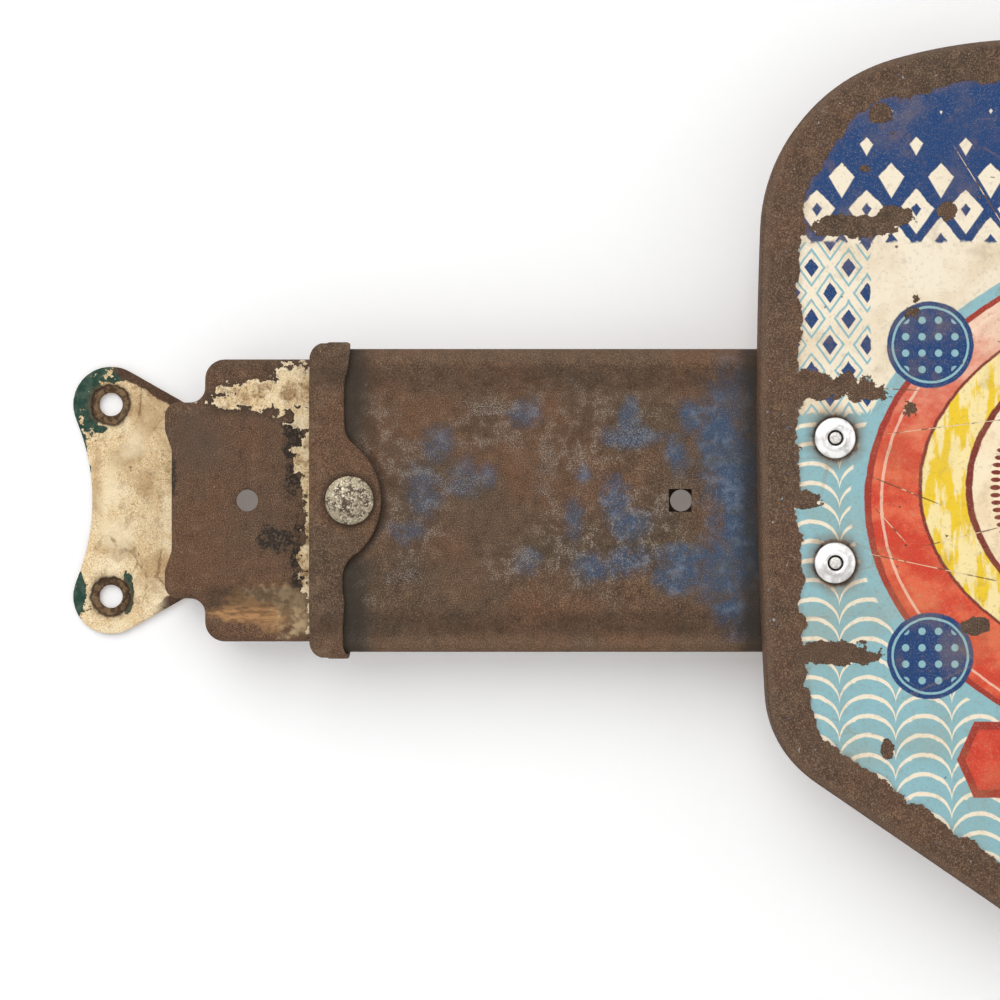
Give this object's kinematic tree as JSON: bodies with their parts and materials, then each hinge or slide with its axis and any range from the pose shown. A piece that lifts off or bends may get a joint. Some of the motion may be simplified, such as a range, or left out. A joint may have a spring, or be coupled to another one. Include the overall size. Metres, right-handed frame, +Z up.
{
  "type": "door push sign",
  "caption": "Adjustable push sign for a door: a shaped enamelled panel riveted across a sheet-steel bar, with a sliding, clamped bracket in each end whose ears screw to the door.",
  "frame": {"origin": "on the door's surface, behind the middle of the push bar", "axes": "+X to the right as a customer faces the sign, +Y from the sign into the door, +Z up"},
  "size_m": [0.574, 0.0294, 0.2146],
  "materials": {
    "bar_rust": "rusted, with traces of blue paint",
    "panel_enamel": "worn printed enamel with a rusted border",
    "arm_paint": "flaking cream paint over rust",
    "collar_rust": "even brown rust",
    "worn_zinc": "pitted, dull zinc",
    "rivet_aluminium": "bright",
    "mandrel_steel": "broken end, dull"
  },
  "bodies": {
    "sign": {"push_bar": "bar_rust", "sign_panel": "panel_enamel", "left_collar": "collar_rust", "left_clamp_bolt": "worn_zinc", "left_clamp_washer": "worn_zinc", "right_collar": "collar_rust", "right_clamp_bolt": "worn_zinc", "right_clamp_washer": "worn_zinc", "upper_left_panel_rivet": "rivet_aluminium", "upper_left_rivet_mandrel": "mandrel_steel", "lower_left_panel_rivet": "rivet_aluminium", "lower_left_rivet_mandrel": "mandrel_steel", "upper_right_panel_rivet": "rivet_aluminium", "upper_right_rivet_mandrel": "mandrel_steel", "lower_right_panel_rivet": "rivet_aluminium", "lower_right_rivet_mandrel": "mandrel_steel"},
    "left_arm": {"left_arm": "arm_paint"},
    "left_clamp_nut": {"left_clamp_nut": "worn_zinc"},
    "right_arm": {"right_arm": "arm_paint"},
    "right_clamp_nut": {"right_clamp_nut": "worn_zinc"}
  },
  "joints": [
    {"name": "left_arm_slide", "type": "slide", "parent": "sign", "child": "left_arm", "axis": [-1, 0, 0], "range_m": [-0.005, 0.067]},
    {"name": "left_nut_turn", "type": "hinge", "parent": "sign", "child": "left_clamp_nut", "pos_m": [-0.2178, -0.0146, 0], "axis": [0, 1, 0], "continuous": true},
    {"name": "right_arm_slide", "type": "slide", "parent": "sign", "child": "right_arm", "axis": [1, 0, 0], "range_m": [-0.005, 0.067]},
    {"name": "right_nut_turn", "type": "hinge", "parent": "sign", "child": "right_clamp_nut", "pos_m": [0.2178, -0.0146, 0], "axis": [0, 1, 0], "continuous": true}
  ]
}
